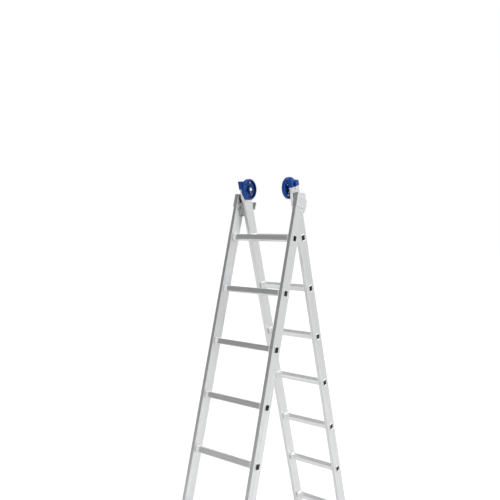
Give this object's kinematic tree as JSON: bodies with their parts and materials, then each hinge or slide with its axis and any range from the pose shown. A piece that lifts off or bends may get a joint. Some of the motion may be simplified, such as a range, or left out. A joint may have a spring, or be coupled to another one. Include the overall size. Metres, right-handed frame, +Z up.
{
  "type": "extension ladder",
  "caption": "Two-section aluminium extension ladder stood as an A-frame, with guide brackets, wall wheels and capped stiles.",
  "frame": {"origin": "on the floor, midway between the feet of the two sections", "axes": "+Z up; +X along the rungs, to the right seen from the base section; +Y rearward, from the base section to the fly section"},
  "size_m": [0.4172, 1.235, 2.1927],
  "materials": {
    "stile_aluminium": "extruded, satin, fine lengthwise die lines",
    "rung_aluminium": "extruded, satin, lengthwise grooves on top and bottom",
    "collar_nylon": "moulded, white",
    "bracket_aluminium": "pressed sheet, satin",
    "rivet_aluminium": "set rivet heads",
    "zinc_steel": "zinc plated",
    "blue_plastic": "moulded, semi-gloss",
    "grey_nylon": "moulded nylon, grey",
    "dark_plastic": "moulded, dark grey",
    "bush_nylon": "natural nylon",
    "sole_rubber": "ribbed black rubber"
  },
  "bodies": {
    "base_section": {"base_stile_left": "stile_aluminium", "base_foot_left": "blue_plastic", "base_sole_left": "sole_rubber", "base_stile_right": "stile_aluminium", "base_foot_right": "blue_plastic", "base_sole_right": "sole_rubber", "base_rung_1": "rung_aluminium", "base_rung_2": "rung_aluminium", "base_rung_3": "rung_aluminium", "base_rung_4": "rung_aluminium", "base_rung_5": "rung_aluminium", "base_rung_6": "rung_aluminium", "base_rung_7": "rung_aluminium", "base_rung_collars": "collar_nylon", "base_foot_rivets": "rivet_aluminium", "base_end_plug_left": "dark_plastic", "guide_bracket_left": "bracket_aluminium", "pivot_pin_left": "zinc_steel", "base_end_plug_right": "dark_plastic", "guide_bracket_right": "bracket_aluminium", "pivot_pin_right": "zinc_steel", "bracket_rivets": "rivet_aluminium", "opening_stop_studs": "zinc_steel"},
    "guide_shoes": {"guide_shoe_left": "grey_nylon", "guide_shoe_right": "grey_nylon"},
    "fly_section": {"fly_stile_left": "stile_aluminium", "fly_foot_left": "blue_plastic", "fly_sole_left": "sole_rubber", "fly_stile_right": "stile_aluminium", "fly_foot_right": "blue_plastic", "fly_sole_right": "sole_rubber", "fly_rung_1": "rung_aluminium", "fly_rung_2": "rung_aluminium", "fly_rung_3": "rung_aluminium", "fly_rung_4": "rung_aluminium", "fly_rung_5": "rung_aluminium", "fly_rung_6": "rung_aluminium", "fly_rung_7": "rung_aluminium", "fly_rung_collars": "collar_nylon", "fly_foot_rivets": "rivet_aluminium", "fly_cap_left": "blue_plastic", "wheel_axle_left": "zinc_steel", "fly_cap_right": "blue_plastic", "wheel_axle_right": "zinc_steel", "wheel_spacers": "bush_nylon", "wheel_clips": "zinc_steel"},
    "wheel_left": {"wheel_left": "blue_plastic", "wheel_bush_left": "bush_nylon"},
    "wheel_right": {"wheel_right": "blue_plastic", "wheel_bush_right": "bush_nylon"}
  },
  "joints": [
    {"name": "a_frame_fold", "type": "hinge", "parent": "base_section", "child": "guide_shoes", "pos_m": [0, 0, 2.01342], "axis": [-1, 0, 0], "range_deg": [0, 31]},
    {"name": "extension_slide", "type": "slide", "parent": "guide_shoes", "child": "fly_section", "axis": [0, -0.2672, 0.9636], "range_m": [0, 1.4]},
    {"name": "wheel_spin_left", "type": "hinge", "parent": "fly_section", "child": "wheel_left", "pos_m": [-0.132, -0.00825, 2.1367], "axis": [1, 0, 0], "continuous": true},
    {"name": "wheel_spin_right", "type": "hinge", "parent": "fly_section", "child": "wheel_right", "pos_m": [0.132, -0.00825, 2.1367], "axis": [1, 0, 0], "continuous": true}
  ]
}
